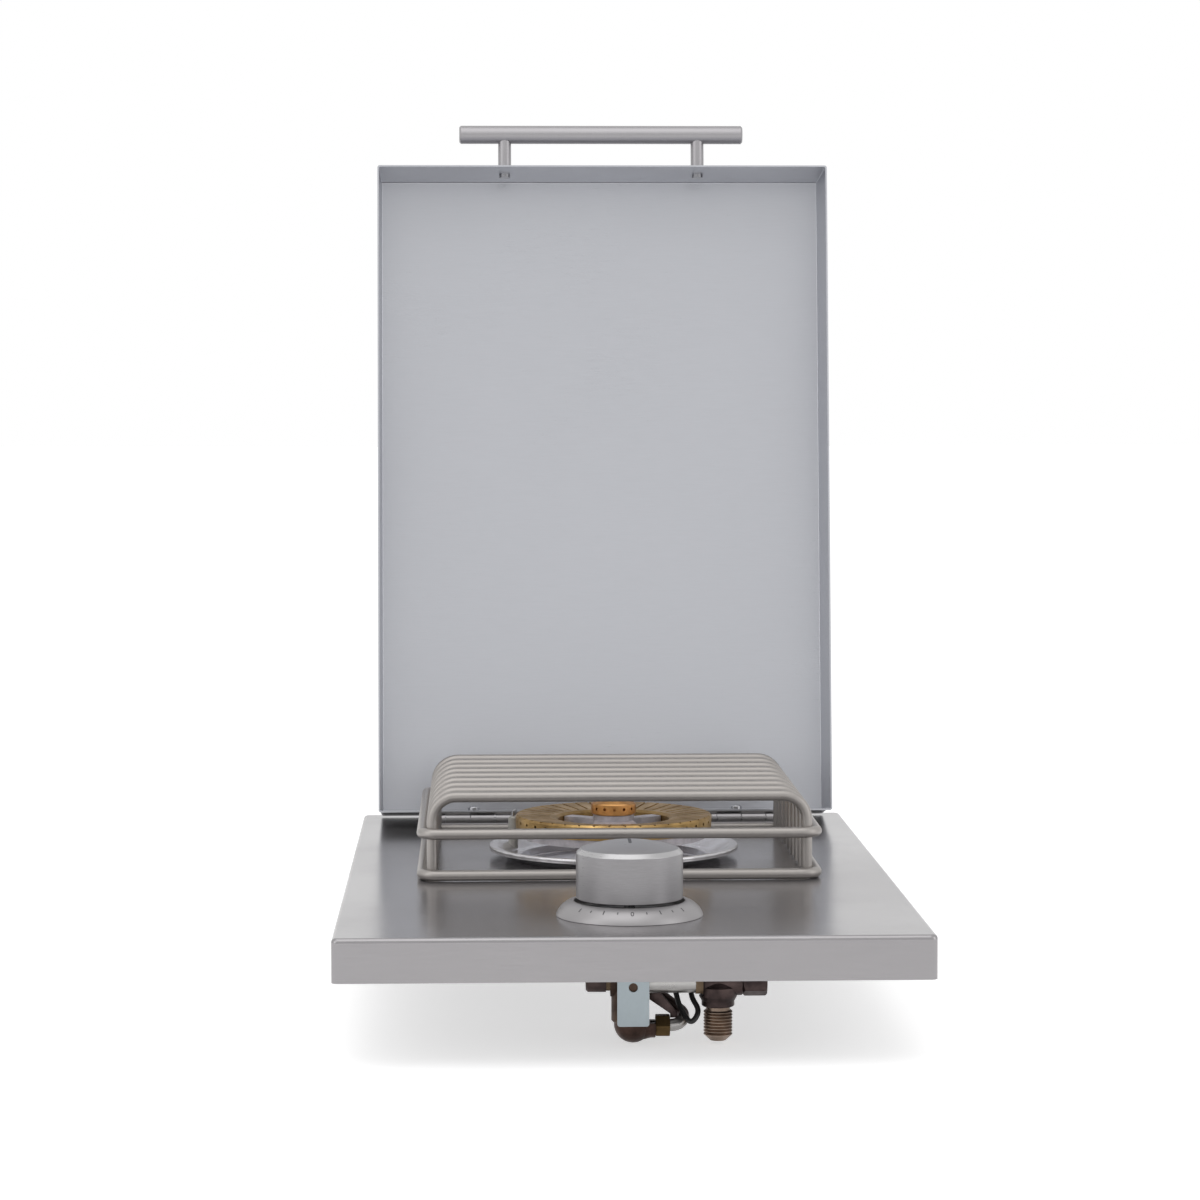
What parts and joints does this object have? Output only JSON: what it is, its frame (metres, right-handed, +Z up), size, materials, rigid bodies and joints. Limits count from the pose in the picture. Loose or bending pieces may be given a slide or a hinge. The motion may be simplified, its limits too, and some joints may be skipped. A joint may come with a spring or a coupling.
{
  "type": "built in side burner",
  "caption": "Drop-in outdoor kitchen side burner: shallow steel tray, brass ring burner in a drip bowl, bent-wire grate, top knob, gas inlet and hinged lid with bar handle.",
  "frame": {"origin": "middle of the tray on the counter plane, which is the underside of the tray's return lips", "axes": "+Z up, -Y towards the cook and the knob, +X to the cook's right"},
  "size_m": [0.319, 0.5456, 0.5291],
  "materials": {
    "tray_steel": "fine horizontal brush, half mirror",
    "lid_steel": "fine brush, satin inside",
    "sheet_steel": "plain mill finish",
    "fastener_steel": "bright",
    "bowl_aluminium": "polished",
    "burner_casting": "grey sand casting",
    "ring_brass": "machined, heat tinted olive brown",
    "cap_brass": "bright copper tint",
    "white_ceramic": "glazed",
    "black_lead": "silicone sheath",
    "black_plastic": "moulded",
    "valve_casting": "dark cast",
    "plain_brass": "turned",
    "knob_metal": "satin",
    "mark_black": "filled line",
    "bezel_metal": "satin",
    "zinc_plate": "bluish bright zinc",
    "tube_steel": "nickel plated",
    "pipe_compound": "dried sealing compound",
    "dark_steel": "black oxide with brown tint",
    "aged_brass": "dull brown",
    "dark_brass": "dark brown",
    "grate_steel": "satin wire",
    "handle_steel": "satin bar",
    "hinge_steel": "satin"
  },
  "bodies": {
    "tray": {"air_shutter": "sheet_steel", "bezel": "bezel_metal", "bezel_screws": "fastener_steel", "bracket_screw": "fastener_steel", "burner_base": "burner_casting", "burner_mount_screws": "fastener_steel", "burner_support": "sheet_steel", "drip_bowl": "bowl_aluminium", "end_plug": "dark_steel", "gas_orifice": "plain_brass", "gas_tube": "bowl_aluminium", "hinge_leaf_tray": "hinge_steel", "hinge_pin": "fastener_steel", "hinge_tray_screws": "fastener_steel", "igniter_clip": "sheet_steel", "igniter_electrode": "fastener_steel", "igniter_insulator": "white_ceramic", "ignition_lead": "black_lead", "inlet_flare_fitting": "aged_brass", "inlet_tee": "dark_steel", "manifold_tube": "tube_steel", "outlet_elbow": "dark_brass", "pipe_seals": "pipe_compound", "spark_module": "black_plastic", "support_screws": "fastener_steel", "tee_plug": "dark_steel", "top_tray": "tray_steel", "tube_strip": "dark_steel", "union_nut": "plain_brass", "valve_body": "valve_casting", "valve_bracket": "zinc_plate", "valve_cap": "valve_casting", "valve_cap_screws": "fastener_steel"},
    "lid": {"lid_shell": "lid_steel", "handle_bar": "handle_steel", "handle_posts": "handle_steel", "handle_screws": "fastener_steel", "hinge_leaf_lid": "hinge_steel", "hinge_lid_screws": "fastener_steel"},
    "valve_rotor": {"valve_plug": "plain_brass", "stem_spring": "fastener_steel"},
    "knob_unit": {"valve_stem": "fastener_steel", "knob": "knob_metal", "knob_indicator": "mark_black"},
    "grate": {"grate_bars": "grate_steel", "grate_lower_ring": "grate_steel", "grate_upper_ring": "grate_steel"},
    "outer_ring": {"outer_burner_ring": "ring_brass"},
    "center_cap": {"center_burner_cap": "cap_brass"}
  },
  "joints": [
    {"name": "lid_hinge", "type": "hinge", "parent": "tray", "child": "lid", "pos_m": [0, 0.183, 0.029], "axis": [1, 0, 0], "range_deg": [0, 96.7]},
    {"name": "knob_turn", "type": "hinge", "parent": "tray", "child": "valve_rotor", "pos_m": [0, -0.179, 0.02], "axis": [0, 0, 1], "range_deg": [0, 180]},
    {"name": "knob_push", "type": "slide", "parent": "valve_rotor", "child": "knob_unit", "axis": [0, 0, -1], "range_m": [0, 0.003], "stiffness_N_per_m": 1500, "springref_m": -0.004, "deforming": ["stem_spring"]},
    {"name": "grate_lift", "type": "slide", "parent": "tray", "child": "grate", "axis": [0, 0, 1], "range_m": [0, 0.008]},
    {"name": "ring_lift", "type": "slide", "parent": "tray", "child": "outer_ring", "axis": [0, 0, 1], "range_m": [0, 0.006]},
    {"name": "cap_lift", "type": "slide", "parent": "tray", "child": "center_cap", "axis": [0, 0, 1], "range_m": [0, 0.006]}
  ]
}
